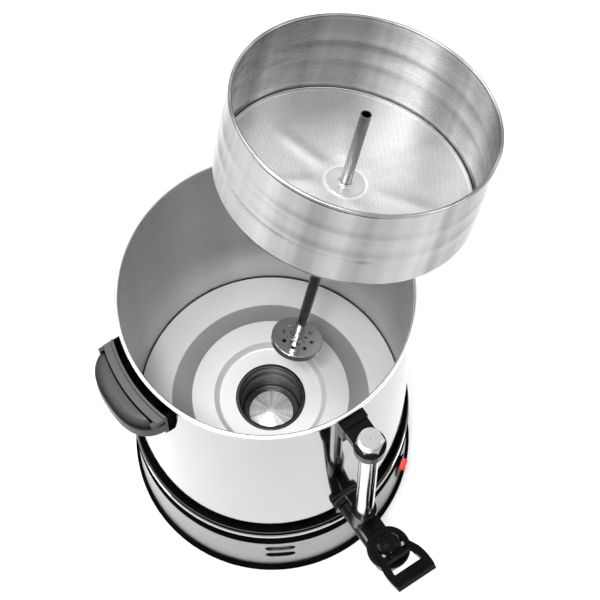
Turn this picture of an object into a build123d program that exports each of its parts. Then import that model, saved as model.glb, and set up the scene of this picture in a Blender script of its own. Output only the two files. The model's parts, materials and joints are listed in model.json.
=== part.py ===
"""Electric percolator urn: a pot on a heated base, with a tap, a sight gauge and a lifted-out brewing set.

Units are millimetres. The origin is on the pot's axis, on the surface that the urn stands on. +Z is up, the
tap and the gauge are on -Y, and the side handles are on -X and +X. The brewing set (a riser tube with its
basket) is held above the pot, tilted, as it is when it is being lifted out.
"""

from build123d import *
from math import cos, radians, sin, sqrt
import os

os.makedirs("parts", exist_ok=True)

# ---------------------------------------------------------------- driving dimensions
GAP = 0.1  # assembly gap between pieces that sit against each other
RUNNING_GAP = 0.3  # gap between round pieces that move past each other

POT_R = 134.4  # outside of the pot wall
POT_T = 1.0
POT_FOOT_Z = 128.0  # lower edge of the wall, hidden in the collar
RIM_Z = 443.5  # centre of the rolled rim
RIM_BEAD_R = 2.0

FLOOR_T = 1.2
FLOOR_EDGE_Z = 134.8
PLATEAU_Z = 150.0
WELL_MOUTH_Z = 142.0
WELL_R = 30.7  # inside of the well above its step
WELL_LOW_R = 29.2  # inside of the well below its step
WELL_STEP_Z = 127.5
WELL_FLOOR_Z = 92.0
WELL_T = 1.4

COLLAR_TOP_Z = 140.2
COLLAR_LOW_Z = 95.5
TRIM_Z = (117.8, 125.2)  # lower and upper edge of the bright trim ring
COLLAR_LIP_R = 140.7
SKIRT_LOW_Z = 5.1
SKIRT_TOP_Z = 100.0
SKIRT_LOW_R = 141.7
SKIRT_TOP_R = 139.7
SKIRT_T = 0.8
FOOT_RING_R = 145.0
FOOT_RING_TOP_Z = 13.5

GAUGE_D = 164.0  # distance of the gauge's axis from the pot's axis
GUARD_R = 9.0
GUARD_T = 1.2
GUARD_LOW_Z = 206.0
GUARD_TOP_Z = 444.0
SOCKET_TOP_Z = 218.0
BRACKET_Z = (421.0, 434.0)  # underside and top of the bracket's arm
BRACKET_SCREW_Z = 413.0
CAP_TOP_Z = 451.0

TAP_D = 206.0  # distance of the tap head's axis from the pot's axis
TAP_Z = 172.0  # height of the outlet
TAP_BODY_R = 13.5
TAP_FOOT_Z = 156.5  # lower end of the tap body, where the spout starts
TAP_SEAT_Z = 158.5  # bottom of the valve chamber
SPOUT_BORE_R = 6.2
TAP_CHAMBER_R = 11.2
TAP_HEAD_R = 21.2
TAP_TOP_Z = 205.0
DOME_R = 11.9  # dome on the bonnet, over the top of the stem
DOME_TOP_Z = 225.4
LEVER_PIN_D = 212.0
LEVER_PIN_Z = 216.0
LEVER_PIN_R = 2.0
LEVER_TILT = 28.0
LEVER_REACH = 44.2
LEVER_HALF_T = 2.5

HANDLE_HALF = 44.0  # half of a handle's length
HANDLE_TOP_Z = 433.0
HANDLE_FOOT_Z = 389.0
HANDLE_SCREWS_Z = 404.0
HANDLE_SCREWS_Y = 26.0
GRIP_ROOT = 134.0  # the grip's widest line, just inside the pot's wall
GRIP_REACH = 34.6
GRIP_T = 5.5
GRIP_TOP_ROUND = 11.5
GRIP_FOOT_ROUND = 4.2

SWITCH_AZ = -54.5
SWITCH_Z = 66.0
GLAND_Z = 34.0

SET_FOOT = (29.2, -5.9, 293.2)  # centre of the riser's foot
SET_TILT = 23.1  # lean of the riser from upright
SET_AZ = 26.1  # direction that it leans towards
TUBE_R = 5.1
TUBE_T = 0.8
TUBE_TOP_S = 304.5  # distances s are along the riser, from its foot
BASKET_FLOOR_S = 218.7
BASKET_H = 90.5
BASKET_R = 120.6
BASKET_T = 0.8
FOOT_R = 24.7
FOOT_HOLES = ((8.4, 1.35, 32.5), (14.4, 2.1, 10.0))  # ring radius, hole radius, turn of the first hole
VALVE_DISC_R = 17.6
HUB_R = 17.75

pieces = {}


# ---------------------------------------------------------------- helpers
def turned(points, rounds=0):
    """A closed (radius, height) outline turned about the Z axis, with its corners rounded."""
    corners = [(r, 0, z) for r, z in points]
    if rounds:
        wire = FilletPolyline(*corners, radius=rounds, close=True)
    else:
        wire = Polyline(*corners, close=True)
    return revolve(make_face(wire), axis=Axis.Z)


def ring(inner, outer, low, high):
    """A plain ring between two radii and two heights."""
    return turned([(inner, low), (outer, low), (outer, high), (inner, high)])


def rod(radius, low, high, x=0.0, y=0.0):
    """An upright round bar."""
    return Pos(x, y, low) * Cylinder(radius, high - low, align=(Align.CENTER, Align.CENTER, Align.MIN))


def block(x0, x1, y0, y1, z0, z1):
    """A box between two corners."""
    return Pos((x0 + x1) / 2, (y0 + y1) / 2, (z0 + z1) / 2) * Box(x1 - x0, y1 - y0, z1 - z0)


def outward(shape, azimuth, distance=0.0, height=0.0):
    """Stands a shape built along +Z so that it points away from the pot's axis."""
    return Rot(0, 0, azimuth) * Pos(distance, 0, height) * Rot(0, 90, 0) * shape


def hexagon(across_flats, low, high, turn=0.0):
    """A hexagonal prism about the Z axis."""
    face = RegularPolygon(across_flats / 2, 6, major_radius=False)
    return Rot(0, 0, turn) * Pos(0, 0, low) * extrude(face, high - low)


def put(name, *shapes):
    """Keeps a named node, as one solid or as a group of separate solids."""
    solids = [s for shape in shapes for s in (shape if isinstance(shape, list) else [shape])]
    flat = [s for shape in solids for s in shape.solids()]
    pieces[name] = flat[0] if len(flat) == 1 else Compound(flat)


def skirt_r(z):
    """Outside radius of the base skirt at a height."""
    share = (z - SKIRT_LOW_Z) / (SKIRT_TOP_Z - SKIRT_LOW_Z)
    return SKIRT_LOW_R + (SKIRT_TOP_R - SKIRT_LOW_R) * share


# ---------------------------------------------------------------- pot
def build_pot():
    wall = ring(POT_R - POT_T, POT_R, POT_FOOT_Z, RIM_Z)
    bead = Pos(0, 0, RIM_Z) * Torus(POT_R - 1.4, RIM_BEAD_R)
    wall = wall + bead
    wall -= outward(Cylinder(10.2, 40), -90, POT_R, TAP_Z)
    wall -= outward(Cylinder(2.3, 40), -90, POT_R, BRACKET_SCREW_Z)
    for side in (0, 180):
        for y in (-HANDLE_SCREWS_Y, HANDLE_SCREWS_Y):
            wall -= Rot(0, 0, side) * Pos(POT_R, y, HANDLE_SCREWS_Z) * Rot(0, 90, 0) * Cylinder(2.7, 40)
    put("pot_wall", wall)

    edge = POT_R - POT_T - GAP / 2
    under = FLOOR_T
    floor = turned(
        [
            (edge, POT_FOOT_Z), (edge, FLOOR_EDGE_Z), (99.7, 141.0), (79.0, PLATEAU_Z), (56.3, PLATEAU_Z),
            (51.9, WELL_MOUTH_Z), (33.2, WELL_MOUTH_Z), (33.2, WELL_MOUTH_Z - under),
            (52.6, WELL_MOUTH_Z - under), (57.0, PLATEAU_Z - under), (78.6, PLATEAU_Z - under),
            (99.3, 141.0 - under), (edge - under, FLOOR_EDGE_Z - 1.1), (edge - under, POT_FOOT_Z),
        ],
        [0, 0.4, 1.5, 1.5, 1.5, 1.5, 0, 0, 0.8, 0.8, 0.8, 0.8, 0.4, 0],
    )
    put("pot_floor", floor)

    lip = WELL_R + 4.4
    well = turned(
        [
            (0, WELL_FLOOR_Z - WELL_T), (WELL_LOW_R + WELL_T, WELL_FLOOR_Z - WELL_T),
            (WELL_LOW_R + WELL_T, WELL_STEP_Z - WELL_T), (WELL_R + WELL_T, WELL_STEP_Z - WELL_T),
            (WELL_R + WELL_T, WELL_MOUTH_Z + GAP), (lip, WELL_MOUTH_Z + GAP),
            (lip, WELL_MOUTH_Z + 1.9), (WELL_R, WELL_MOUTH_Z + 1.9),
            (WELL_R, WELL_STEP_Z), (WELL_LOW_R, WELL_STEP_Z), (WELL_LOW_R, WELL_FLOOR_Z), (0, WELL_FLOOR_Z),
        ],
        [0, 1, 0.5, 0.5, 0.3, 0.5, 0.8, 1.5, 0.5, 0.5, 1, 0],
    )
    put("heater_well", well)
    dome = turned(
        [
            (0, WELL_FLOOR_Z + 0.05), (22.4, WELL_FLOOR_Z + 0.05), (22.4, WELL_FLOOR_Z + 1.6), (3.0, 98.5),
            (0, 98.5),
        ],
        [0, 0.4, 0.4, 1.0, 0],
    )
    put("well_dome", dome)


# ---------------------------------------------------------------- heating parts under the pot
COLD_END_TURN = 14  # half of the gap in an element's ring, in degrees


def open_coil(ring_r, rod_r, z, foot_z, start):
    """A ring of sheathed rod with its two cold ends turned down, as on a boiling element."""
    half_gap = COLD_END_TURN
    span = 360 - 2 * half_gap
    face = Pos(ring_r, 0, 0) * Rot(90, 0, 0) * Circle(rod_r)
    body = revolve(face, axis=Axis.Z, revolution_arc=span)
    body = Pos(0, 0, z) * Rot(0, 0, start + half_gap) * body
    for turn in (start + half_gap, start - half_gap):
        x = ring_r * cos(radians(turn))
        y = ring_r * sin(radians(turn))
        body += Pos(x, y, z) * Sphere(rod_r)
        body += rod(rod_r * 0.8, foot_z, z, x, y)
    return body


def build_heating():
    block_in = WELL_LOW_R + WELL_T + GAP
    element_r = 43.0
    heat_block = ring(block_in, element_r - 1.0, 104, 124)
    heat_block -= Pos(0, 0, 114) * Torus(element_r, 4.4)
    for turn in (90 - COLD_END_TURN, 90 + COLD_END_TURN):
        x = element_r * cos(radians(turn))
        y = element_r * sin(radians(turn))
        heat_block -= rod(4.6, 100, 118, x, y)
    put("heat_block", heat_block)
    put("boiling_element", open_coil(element_r, 4.2, 114, 82, 90))
    put("keep_warm_element", open_coil(67.8, 3.0, PLATEAU_Z - FLOOR_T - 3.1, 118, 90))

    stud = rod(3.9, 2.4, WELL_FLOOR_Z - WELL_T - 0.05)
    put("centre_stud", stud)
    clip_z = 77.0
    clip = ring(4.0, 29.0, clip_z, clip_z + 1.5)
    clip -= block(-30, 30, 11, 30, 70, 90)
    clip -= block(-30, 30, -30, -11, 70, 90)
    put("thermostat_clip", clip)
    clip_nut = hexagon(13, clip_z - 6.6, clip_z - 0.05) - rod(3.9, 60, 80)
    base_nut = hexagon(13, SKIRT_LOW_Z - 3.4 + GAP, SKIRT_LOW_Z - GAP) - rod(3.9, 0, 10)
    put("stud_nuts", clip_nut, base_nut)
    can_z = clip_z + 1.55
    can_top = WELL_FLOOR_Z - WELL_T - 0.05
    for name, x, radius in (("thermostat", 17.0, 8.5), ("thermal_cutout", -17.0, 7.5)):
        can = rod(radius, can_z + 3.0, can_top, x) + rod(radius - 1.5, can_z, can_z + 3.2, x)
        can += block(x - 3, x + 3, 6, radius + 6, can_z + 4.0, can_z + 4.8)
        can += block(x - 3, x + 3, -radius - 6, -6, can_z + 4.0, can_z + 4.8)
        put(name, can)

    bridge = block(-22, 22, 78, 92, 40, 41.5) + block(-22, -20.5, 78, 92, 6.5, 41.5)
    bridge += block(20.5, 22, 78, 92, 6.5, 41.5)
    put("terminal_bridge", bridge)
    terminals = block(-20, 20, 79, 91, 41.6, 54)
    for x in (-14, -4.7, 4.7, 14):
        terminals -= rod(2.2, 46, 60, x, 85)
        terminals -= Pos(x, 85, 46) * Rot(90, 0, 0) * Cylinder(1.8, 30)
    put("terminal_block", terminals)

    leads = []
    for x, end_x in ((-14.0, -11.6), (14.0, 11.6)):
        turn = 3.0
        route = FilletPolyline(
            (x, 71.5, 46), (x, 58.0, 46), (x, 58.0, 62.0), (end_x, 43.0, 62.0), (end_x, 41.0, 81.0),
            radius=turn,
        )
        section = Plane(origin=route @ 0, z_dir=route % 0) * Circle(1.3)
        leads.append(sweep(section, path=route))
    put("inner_leads", *leads)


# ---------------------------------------------------------------- base
VENTS_Z = (74.5, 52.0)


def vent_cut(azimuth, z, wide=31.0, tall=16.0):
    """A lens-shaped vent opening, as a bar to cut out of the skirt."""
    slot = SlotOverall(wide, tall)
    bar = extrude(slot, 30)
    return Rot(0, 0, azimuth) * Pos(125, 0, z) * Rot(0, 90, 0) * Rot(0, 0, 90) * bar


def build_base():
    trim_low, trim_high = TRIM_Z
    collar = turned(
        [
            (134.5, COLLAR_TOP_Z - 1.0), (136.4, COLLAR_TOP_Z - 1.0), (136.8, COLLAR_TOP_Z),
            (138.0, COLLAR_TOP_Z), (138.6, COLLAR_TOP_Z - 1.0), (138.6, 135.2), (139.5, 134.6),
            (139.5, trim_high + 1.0),
            (138.7, trim_high + 0.4), (138.7, trim_low - 0.6), (COLLAR_LIP_R, trim_low - 1.4),
            (COLLAR_LIP_R, COLLAR_LOW_Z), (139.95, COLLAR_LOW_Z), (139.95, SKIRT_TOP_Z + GAP),
            (134.0, 104.0), (131.2, 120.0), (131.2, POT_FOOT_Z - GAP), (134.5, POT_FOOT_Z - GAP),
        ],
        [0, 0.2, 0.3, 0.5, 0.4, 0.4, 0.3, 0.4, 0, 0, 0.8, 0.4, 0, 0, 0, 0, 0, 0],
    )
    put("base_collar", collar)
    trim = turned(
        [(138.8, trim_low), (140.3, trim_low + 0.7), (140.3, trim_high - 0.7), (138.8, trim_high)],
        [0, 0.6, 0.6, 0],
    )
    put("collar_trim", trim)

    skirt = turned(
        [
            (SKIRT_LOW_R - SKIRT_T, SKIRT_LOW_Z), (SKIRT_LOW_R, SKIRT_LOW_Z),
            (SKIRT_TOP_R, SKIRT_TOP_Z), (SKIRT_TOP_R - SKIRT_T, SKIRT_TOP_Z),
        ]
    )
    grilles = []
    for azimuth in (-120, 60, 120):
        grille = ring(135.5, 138.6, 34, 88) & Rot(0, 0, azimuth) * block(120, 150, -20, 20, 30, 90)
        for z in VENTS_Z:
            skirt -= vent_cut(azimuth, z)
            for step in (-5.4, 0.0, 5.4):
                cut = Rot(0, 0, azimuth) * Pos(137, 0, z + step) * Rot(0, 20, 0) * Box(20, 27, 2.2)
                grille -= cut
        grilles.append(grille)
    skirt -= Rot(0, 0, SWITCH_AZ) * block(125, 150, -6.6, 6.6, SWITCH_Z - 15.1, SWITCH_Z + 15.1)
    skirt -= outward(Cylinder(9.1, 30), 90, 140, GLAND_Z)
    put("base_skirt", skirt)
    put("vent_grilles", *grilles)

    foot = turned(
        [
            (126.0, 1.6), (132.9, 1.6), (132.9, 3.2), (140.1, 3.2), (140.1, 1.6), (143.4, 1.6),
            (FOOT_RING_R, 3.4), (FOOT_RING_R, FOOT_RING_TOP_Z - 1.6), (143.4, FOOT_RING_TOP_Z),
            (141.85, FOOT_RING_TOP_Z), (141.85, 5.0), (126.0, 5.0),
        ],
        [0, 0, 0, 0, 0, 0.8, 0.8, 1.6, 0.3, 0, 0, 0],
    )
    screw_spots = [(129.6 * cos(radians(a)), 129.6 * sin(radians(a))) for a in (30, 150, 270)]
    for x, y in screw_spots:
        foot -= rod(1.7, 0, 10, x, y)
    put("foot_ring", foot)
    pad_outline = [(133.0, 0.0), (140.0, 0.0), (140.0, 3.1), (133.0, 3.1)]
    put("rubber_pad_ring", turned(pad_outline, [0.5, 0.5, 0, 0]))
    cover_top = SKIRT_LOW_Z + 1.2
    cover = rod(140.2, SKIRT_LOW_Z, cover_top) - rod(4.2, 0, 10)
    for x, y in screw_spots:
        cover -= rod(1.7, 0, 10, x, y)
    for turn in range(0, 360, 45):
        cover -= Rot(0, 0, turn) * Pos(80, 0, 5) * Rot(0, 0, 90) * extrude(SlotOverall(36, 5), 3)
    put("base_cover", cover)
    screws = []
    for x, y in screw_spots:
        seat = cover_top + GAP
        screw = rod(1.6, 1.6, seat + 0.4, x, y) + rod(3.2, seat, seat + 2.0, x, y)
        screw -= Pos(x, y, seat + 2.0) * Box(5, 0.8, 1.6)
        screws.append(screw)
    put("base_screws", *screws)

    gland = outward(
        turned([(4.2, -14), (8.9, -14), (8.9, 0.3), (12.0, 0.3), (11.0, 3.4), (6.6, 4.6), (4.2, 4.6)]),
        90, skirt_r(GLAND_Z) + 0.2, GLAND_Z,
    )
    put("cord_gland", gland)


# ---------------------------------------------------------------- rocker switch
ROCKER_DEPTH = 3.0  # pivot of the rocker, inside the skirt's surface
ROCKER_SWING_R = 14.2
ROCKER_HALF = 5.6


def at_switch(shape):
    """Moves a shape whose +X is outward and whose origin is the rocker's pivot to the switch."""
    pivot = skirt_r(SWITCH_Z) - ROCKER_DEPTH
    return Rot(0, 0, SWITCH_AZ) * Pos(pivot, 0, SWITCH_Z) * shape


def upright_prism(points, half_width):
    """An outline in the outward and upward directions, as a prism centred on the XZ plane."""
    face = make_face(Polyline(*[(x, 0, z) for x, z in points], close=True))
    return extrude(face, half_width, both=True)


def build_switch():
    outline = [
        (-2.0, -20.0), (4.2, -20.0), (4.0, -13.6), (4.5, -1.3), (10.5, 9.6), (14.0, 20.0), (-2.0, 20.0),
    ]
    drum = Rot(90, 0, 0) * Cylinder(ROCKER_SWING_R, 2 * ROCKER_HALF)
    rocker = upright_prism(outline, ROCKER_HALF) & drum
    put("switch_rocker", at_switch(rocker))
    face_x = ROCKER_DEPTH + 0.6
    body = block(-16.5, face_x, -6.5, 6.5, -15.0, 15.0)
    flange = block(face_x - 0.1, face_x + 1.5, -8.0, 8.0, -17.5, 17.5)
    housing = body + flange
    housing -= Rot(90, 0, 0) * Cylinder(ROCKER_SWING_R + RUNNING_GAP, 2 * ROCKER_HALF + 0.8)
    housing -= block(0, 30, -ROCKER_HALF - 0.4, ROCKER_HALF + 0.4, -14.5, 14.5)
    for z in (-8, 0, 8):
        housing += block(-23, -16.4, -2.4, 2.4, z - 0.4, z + 0.4)
    put("switch_housing", at_switch(housing))


# ---------------------------------------------------------------- side handles
def grip_plan(reach, half, power=2.5):
    """Plan of a grip as a bulging curve from the wall side out to its reach and back, as a face."""
    right = []
    for share in (1.0, 0.965, 0.89, 0.76, 0.53, 0.27, 0.0):
        right.append((GRIP_ROOT + reach * (1 - share**power) ** (1 / power), half * share, 0))
    left = [(x, -y, z) for x, y, z in reversed(right[:-1])]
    edge = Spline(*right, *left)
    back = GRIP_ROOT - 8
    return make_face(edge + Polyline(left[-1], (back, -half, 0), (back, half, 0), right[0]))


def build_handle(name, side):
    """One side handle: a pad on the wall, a ribbed rail above it and a bulging grip, open from below."""
    half = HANDLE_HALF
    pad_in = POT_R + GAP
    pad = ring(pad_in, 141.0, HANDLE_FOOT_Z, HANDLE_TOP_Z - 15) & block(100, 160, -half, half, 380, 440)
    rail = turned(
        [
            (140.0, 415), (151.0, 417), (151.0, 431.2), (143.8, 431.2), (143.8, 430.0),
            (143.2, 430.0), (143.2, HANDLE_TOP_Z), (141.0, HANDLE_TOP_Z), (141.0, HANDLE_TOP_Z - 3),
            (140.0, HANDLE_TOP_Z - 3),
        ],
        [0, 2.0, 1.0, 0, 0, 0, 0, 0, 0, 0],
    )
    rail &= block(100, 160, -half, half, 380, 440)
    top, foot = HANDLE_TOP_Z - 4.0, 397.0
    grip = extrude(grip_plan(GRIP_REACH, half + 1), top - foot)
    upper_edges = grip.edges().group_by(Axis.Z)[-1]
    grip = fillet(upper_edges.filter_by(GeomType.BSPLINE), GRIP_TOP_ROUND)
    lower_edges = grip.edges().group_by(Axis.Z)[0]
    grip = fillet(lower_edges.filter_by(GeomType.BSPLINE), GRIP_FOOT_ROUND)
    grip -= Pos(0, 0, -1) * extrude(grip_plan(GRIP_REACH - GRIP_T, half + 1 - GRIP_T), 417.0 - foot + 1)
    shell = Pos(0, 0, foot) * grip - rod(143.0, 370, 440)
    shell -= rod(152.4, 419.0, 440) - rod(150.5, 418, 441)
    gusset = make_face(
        Polyline(
            (127, 0, HANDLE_FOOT_Z), (136.5, 0, HANDLE_FOOT_Z + 1), (139, 0, 402), (148, 0, 412),
            (149.5, 0, 420), (149.5, 0, 430), (127, 0, 430), close=True,
        )
    )
    gusset = extrude(gusset, 1.8, both=True)
    handle = pad + rail + shell
    for end in (-1, 1):
        handle += Pos(0, end * (half - 1.8), 0) * gusset
    handle -= rod(pad_in, 370, 445)
    screws = []
    for y in (-HANDLE_SCREWS_Y, HANDLE_SCREWS_Y):
        handle -= Pos(134, y, HANDLE_SCREWS_Z) * Rot(0, 90, 0) * Cylinder(2.4, 12)
        inside = sqrt((POT_R - POT_T) ** 2 - y**2)
        screw = rod(2.3, 2.4, 9.4) + rod(4.4, 0, 2.4) - Box(1.0, 6.0, 2.0)
        screws.append(Rot(0, 0, side) * Pos(inside - 3.4, y, HANDLE_SCREWS_Z) * Rot(0, 90, 0) * screw)
    put(name, Rot(0, 0, side) * handle)
    return screws


# ---------------------------------------------------------------- sight gauge
def build_gauge():
    centre = Pos(0, -GAUGE_D, 0)
    low, high = BRACKET_Z
    flange = ring(POT_R + GAP, 142.5, 403, 437.0) & block(-13, 13, -160, -100, 400, 445)
    arm = block(-12, 12, -GAUGE_D, -138, low, high) + centre * rod(14.6, low, high)
    arm -= rod(POT_R + 1, 390, 445)
    bracket = flange + arm
    bracket -= centre * rod(GUARD_R + GAP, 390, 445)
    bracket -= outward(Cylinder(1.9, 14), -90, POT_R + 3, BRACKET_SCREW_Z)
    put("gauge_bracket", bracket)
    screw = rod(1.8, -1.8, 7.0) + rod(4.0, -4.0, -1.7) - Pos(0, 0, -4.0) * Box(6, 1, 2)
    put("bracket_screw", outward(screw, -90, POT_R, BRACKET_SCREW_Z))

    guard = centre * ring(GUARD_R - GUARD_T, GUARD_R, GUARD_LOW_Z, GUARD_TOP_Z)
    slot_low, slot_high = 228.0, 417.0
    slot = extrude(SlotOverall(slot_high - slot_low, 5.6), 40, both=True)
    guard -= Pos(0, -GAUGE_D, (slot_low + slot_high) / 2) * Rot(90, 0, 0) * Rot(0, 0, 90) * slot
    put("gauge_guard", guard)
    put("gauge_glass", centre * ring(4.2, 6.0, GUARD_LOW_Z + 2.1, GUARD_TOP_Z - 2.1))
    seal_r = GUARD_R - GUARD_T - GAP
    put(
        "gauge_seals",
        centre * ring(3.6, seal_r, GUARD_LOW_Z, GUARD_LOW_Z + 2.0),
        centre * ring(3.6, seal_r, GUARD_TOP_Z - 2.0, GUARD_TOP_Z),
    )
    nut = hexagon(22.4, high + GAP, 444.5, 30)
    nut &= turned([(0, 430), (12.4, 430), (12.9, 433), (12.9, 442.5), (11.2, 444.6), (0, 444.6)])
    knob = turned([(0, 444), (10.3, 444), (10.3, CAP_TOP_Z), (0, CAP_TOP_Z)], [0, 0, 0.7, 0])
    cap = nut + knob
    cap -= rod(GUARD_R + GAP, 420, GUARD_TOP_Z + GAP)
    cap -= Pos(0, 0, CAP_TOP_Z) * Cone(0.2, 1.4, 2.4)
    put("gauge_cap", centre * cap)


# ---------------------------------------------------------------- tap
def along_tap(shape):
    """Lays a shape built along +Z so that it points out of the pot at the outlet's height."""
    return outward(shape, -90, 0, TAP_Z)


def build_tap():
    head_c = Pos(0, -TAP_D, 0)
    socket_c = Pos(0, -GAUGE_D, 0)
    cap_low = TAP_Z + 12.0
    shank = along_tap(rod(10.0, 112, 142))
    flange = along_tap(rod(17.0, 137.6, 142))
    barrel = along_tap(rod(13.0, 141, TAP_D))
    socket = socket_c * rod(12.2, TAP_Z - 4, SOCKET_TOP_Z)
    neck = block(-11.0, 11.0, -TAP_D, -GAUGE_D, TAP_Z - 8, 196.0)
    head = head_c * turned(
        [
            (0, TAP_FOOT_Z), (TAP_BODY_R, TAP_FOOT_Z), (TAP_BODY_R, cap_low), (14.6, cap_low),
            (14.6, 197.4),
            (0, 197.4),
        ],
        [0, 1.2, 0, 0, 0.5, 0],
    )
    body = shank + flange + barrel + socket + neck
    body -= head_c * (rod(TAP_HEAD_R + 0.4, cap_low - 0.1, 210) + rod(TAP_BODY_R - 1, 140, 200))
    body += head
    body -= block(-2.2, 2.2, -TAP_D + 14.4, -GAUGE_D - 13.4, 193.0, 200)
    body -= head_c * (rod(SPOUT_BORE_R, 150, 160) + rod(TAP_CHAMBER_R, TAP_SEAT_Z, 200))
    body -= along_tap(rod(6.0, 100, TAP_D))
    body -= socket_c * rod(3.8, TAP_Z, 210)
    body -= socket_c * rod(GUARD_R + GAP, GUARD_LOW_Z - GAP, 225)
    put("tap_body", body)
    spout = turned(
        [
            (SPOUT_BORE_R, 146.5), (9.6, 146.5), (10.7, 149.0), (10.7, 152.6), (12.0, 153.2),
            (12.0, TAP_FOOT_Z - 0.05), (SPOUT_BORE_R, TAP_FOOT_Z - 0.05),
        ],
        [0.5, 0.6, 0.8, 0.3, 0.3, 0.5, 0],
    )
    put("tap_spout", head_c * spout)

    put("tap_inner_washer", along_tap(ring(10.1, 15.0, 130.2, 132.3)))
    put("tap_outer_washer", along_tap(ring(10.1, 16.0, 134.6, 137.5)))
    nut = hexagon(27, 122.0, 130.1, 30) - rod(10.1, 120, 135)
    put("tap_lock_nut", along_tap(nut))

    put("tap_bonnet", head_c * build_bonnet(cap_low))
    pin = Pos(0, -LEVER_PIN_D, LEVER_PIN_Z) * Rot(0, 90, 0) * Cylinder(LEVER_PIN_R, 31.6)
    put("lever_pin", pin)

    lift = TAP_SEAT_Z + 6.1
    stem = turned(
        [
            (0, lift), (2.6, lift), (2.6, lift + 4.8), (5.5, lift + 4.8), (5.5, lift + 6.8),
            (3.0, lift + 6.8),
            (3.0, 216.6), (6.2, 216.6), (6.2, 218.2), (5.0, 219.6), (0, 219.6),
        ],
        [0, 0, 0, 0, 0, 0, 0, 0.4, 0.6, 0.6, 0],
    )
    stem -= block(-8, 8, -8, -3.0, 210, 230)
    stem -= block(3.1, 8, -8, -0.9, 210, 230) + block(-8, -3.1, -8, -0.9, 210, 230)
    put("valve_stem", head_c * stem)
    seat = TAP_SEAT_Z + 0.2
    cup = turned(
        [
            (0, seat), (9.0, seat), (10.4, seat + 3.7), (10.4, seat + 7.7), (7.4, seat + 10.6),
            (2.7, seat + 10.6),
            (2.7, seat + 5.8), (0, seat + 5.8),
        ]
    )
    put("valve_seat_cup", head_c * cup)

    wire = 0.75
    coil_low, coil_high = 172.4, 197.0
    turns = 6
    helix = Helix((coil_high - coil_low) / turns, coil_high - coil_low, 7.0)
    section = Plane(origin=helix @ 0, z_dir=helix % 0) * Circle(wire)
    put("tap_spring", head_c * Pos(0, 0, coil_low) * sweep(section, path=helix))

    put("tap_lever", Pos(0, -LEVER_PIN_D, LEVER_PIN_Z) * build_lever())


def build_bonnet(low):
    """The screwed bonnet, with a grooved rounded side and a dome that covers the top of the stem."""
    bonnet = turned(
        [
            (14.9, low), (16.0, low), (19.6, 192.0), (TAP_HEAD_R, 199.5), (TAP_HEAD_R, TAP_TOP_Z),
            (0, TAP_TOP_Z), (0, 198), (14.9, 198),
        ],
        [0, 0.8, 6, 4, 1.6, 0, 0, 0],
    )
    grooves = 30
    for k in range(grooves):
        turn = 360 * k / grooves
        bonnet -= Rot(0, 0, turn) * Pos(TAP_HEAD_R + 0.5, 0, 199.0) * Cylinder(0.9, 8)
    bonnet += turned(
        [(0, 204), (DOME_R, 204), (DOME_R, 217.5), (9.6, 223.4), (4.0, DOME_TOP_Z), (0, DOME_TOP_Z)],
        [0, 0, 3.5, 3, 2, 0],
    )
    stem_room = 10.2
    bonnet -= turned([(0, 207.0), (stem_room, 207.0), (stem_room, 219.5), (7.0, 223.7), (0, 223.7)])
    bonnet -= block(-8.1, 8.1, -TAP_HEAD_R, 0, 207.0, 223.0)
    bonnet -= Pos(0, TAP_D - LEVER_PIN_D, LEVER_PIN_Z) * Rot(0, 90, 0) * Cylinder(LEVER_PIN_R, 60)
    bonnet -= rod(3.0 + RUNNING_GAP, 190, 220)
    return bonnet


def lever_plan(points):
    """A flat face from (reach, half-width) points, mirrored to both sides. Reach is along -Y."""
    right = [(x, -u, 0) for u, x in points]
    left = [(-x, -u, 0) for u, x in reversed(points)]
    return make_face(Polyline(*right, *left, close=True))


def build_lever():
    """The stirrup lever: two bowed arms beside the dome, joined by a web and a broad end bar."""
    half_t = LEVER_HALF_T
    reach = LEVER_REACH
    outline = lever_plan(
        [
            (-13, 13.6), (-6, 14.8), (0, 16.4), (8, 19.2), (15, 21.4), (22, 22.4), (30, 22.6), (38, 22.2),
            (reach, 21.3),
        ]
    )
    outline = fillet(outline.vertices().sort_by(Axis.Y)[:2], 1.2)
    window = lever_plan([(11.6, 13.2), (29.4, 15.2)])
    window = fillet(window.vertices(), 1.0)
    plate = extrude(outline - window, half_t, both=True)
    plate -= block(-12.4, 12.4, -8.7, 20, -5, 5)
    lip = block(-21.2, 21.2, -reach, -reach + 4.5, -3.8, 0)
    rib = Pos(0, -reach + 5.5, half_t) * Rot(0, 90, 0) * Cylinder(0.9, 43)
    barrel = Rot(0, 90, 0) * Cylinder(4.6, 15.8) + block(-7.9, 7.9, -9.0, 0, -half_t, half_t)
    lever = plate + lip + rib + barrel - Rot(0, 90, 0) * Cylinder(5.0, 7.4)
    lever = Rot(-LEVER_TILT, 0, 0) * lever
    for side in (-1, 1):
        prong = block(side * 5.0 - 1.3, side * 5.0 + 1.3, 0, 9.4, -1.2, 1.2)
        lever += Rot(-LEVER_TILT / 2, 0, 0) * prong
    lever -= Rot(0, 90, 0) * Cylinder(LEVER_PIN_R + 0.08, 60)
    return lever


# ---------------------------------------------------------------- brewing set, built upright about its riser
def ridge_profile(base_r, low, high, proud, centres, half_height):
    """One face of the basket wall, bottom to top, with shallow pressed ridges, in the XZ plane."""
    edges = []
    at = (base_r, 0, low)
    for s in centres:
        start = (base_r, 0, s - half_height)
        middle = (base_r + proud, 0, s)
        end = (base_r, 0, s + half_height)
        edges.append(Line(at, start))
        edges.append(ThreePointArc(start, middle, end))
        at = end
    edges.append(Line(at, (base_r, 0, high)))
    return edges


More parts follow.
